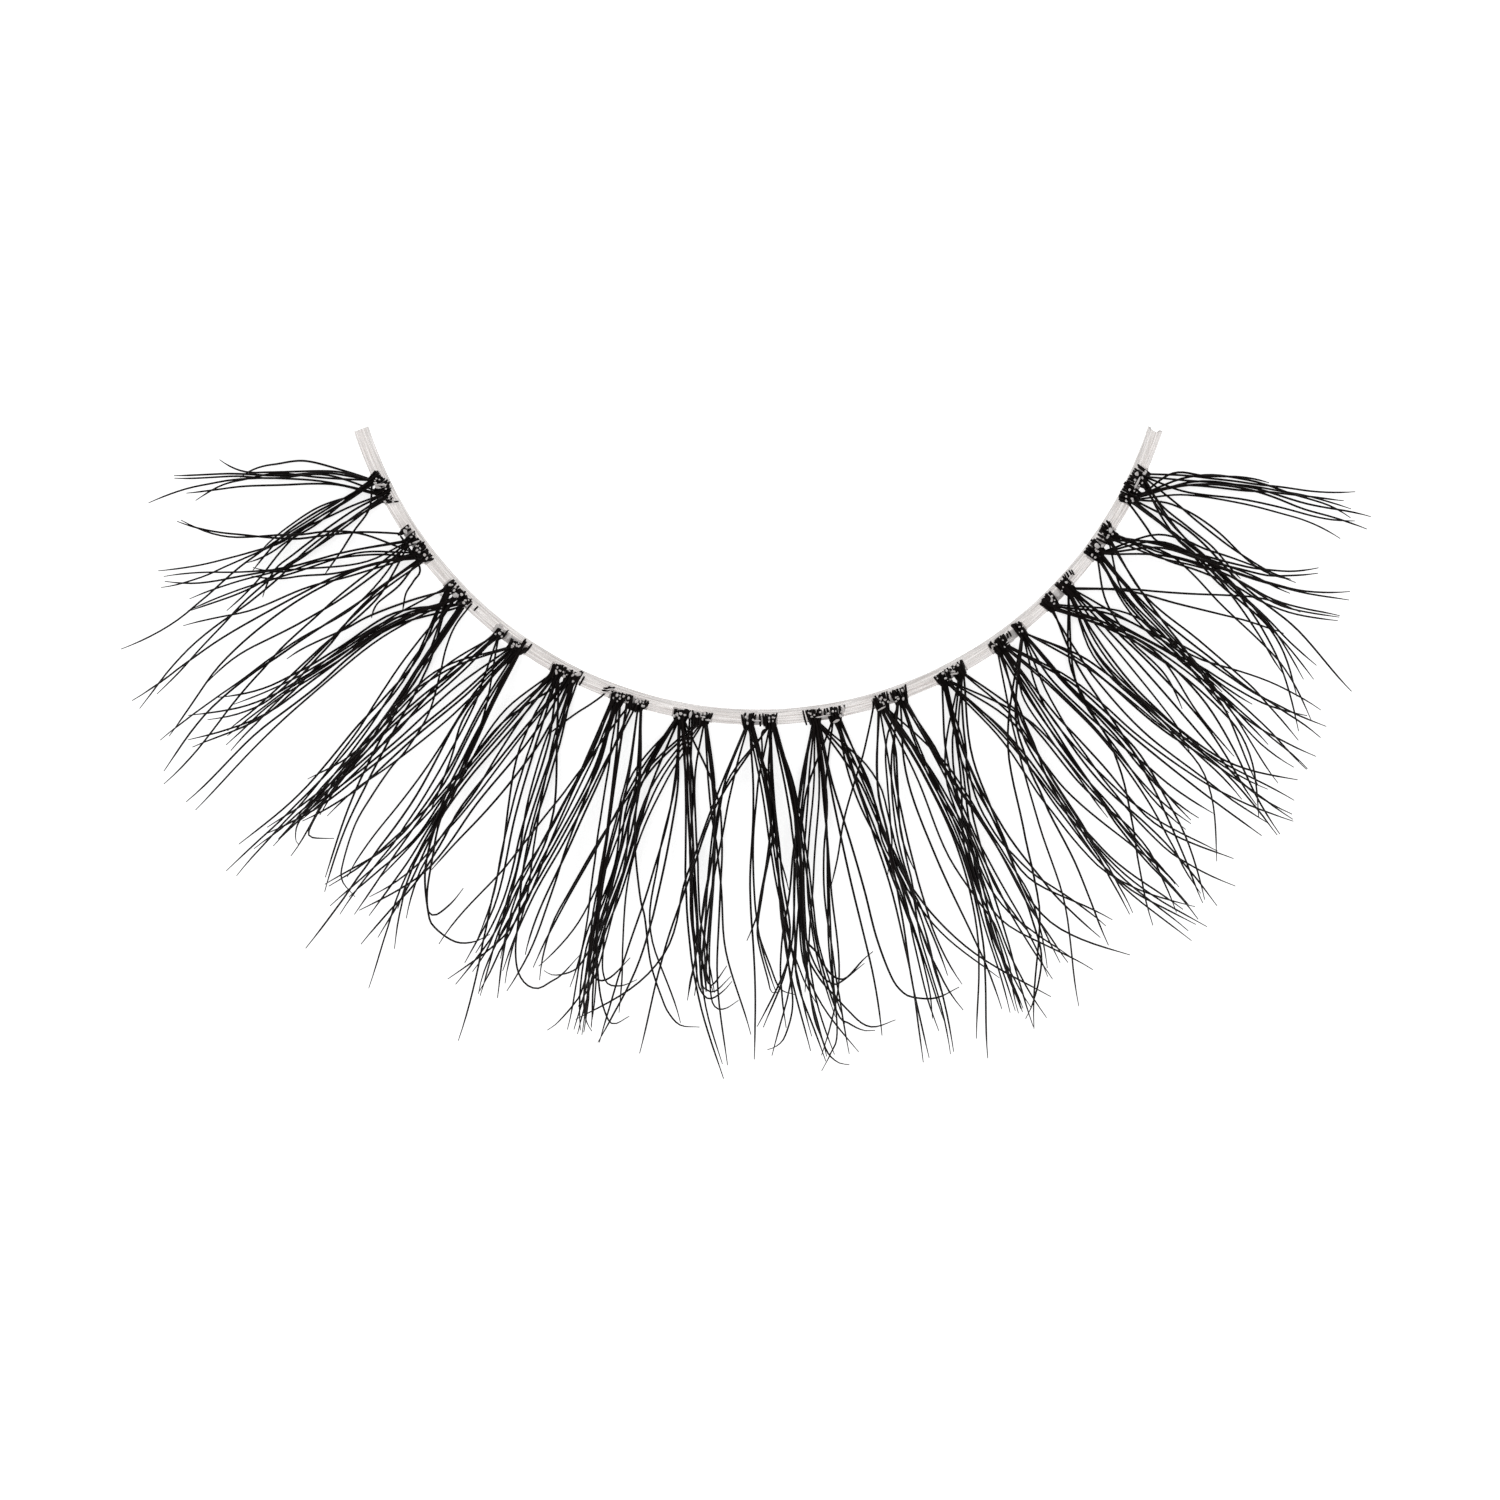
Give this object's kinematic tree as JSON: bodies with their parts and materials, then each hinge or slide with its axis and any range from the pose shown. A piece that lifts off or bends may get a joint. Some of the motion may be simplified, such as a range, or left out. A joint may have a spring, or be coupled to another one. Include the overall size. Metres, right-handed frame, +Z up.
{
  "type": "false eyelash strip",
  "caption": "Strip of dark curled false lashes in fanned clusters, glued along a thin clear band bent to the curve of an eyelid.",
  "frame": {"origin": "on the surface the strip lies on, under the middle of its whole outline", "axes": "+X across the strip from its left end in the picture to its right end, +Y from the lash tips towards the band's two ends, +Z up from the glue face towards the curled tips"},
  "size_m": [0.0398, 0.021, 0.0071],
  "materials": {
    "clear_band": "thin clear film, slightly milky, satin",
    "lash_fibre": "dark brown-black synthetic fibre with a soft sheen"
  },
  "bodies": {
    "root": {"band": "clear_band", "lash_cluster_01": "lash_fibre", "lash_cluster_02": "lash_fibre", "lash_cluster_03": "lash_fibre", "lash_cluster_04": "lash_fibre", "lash_cluster_05": "lash_fibre", "lash_cluster_06": "lash_fibre", "lash_cluster_07": "lash_fibre", "lash_cluster_08": "lash_fibre", "lash_cluster_09": "lash_fibre", "lash_cluster_10": "lash_fibre", "lash_cluster_11": "lash_fibre", "lash_cluster_12": "lash_fibre", "lash_cluster_13": "lash_fibre", "lash_cluster_14": "lash_fibre", "lash_cluster_15": "lash_fibre"}
  },
  "joints": []
}
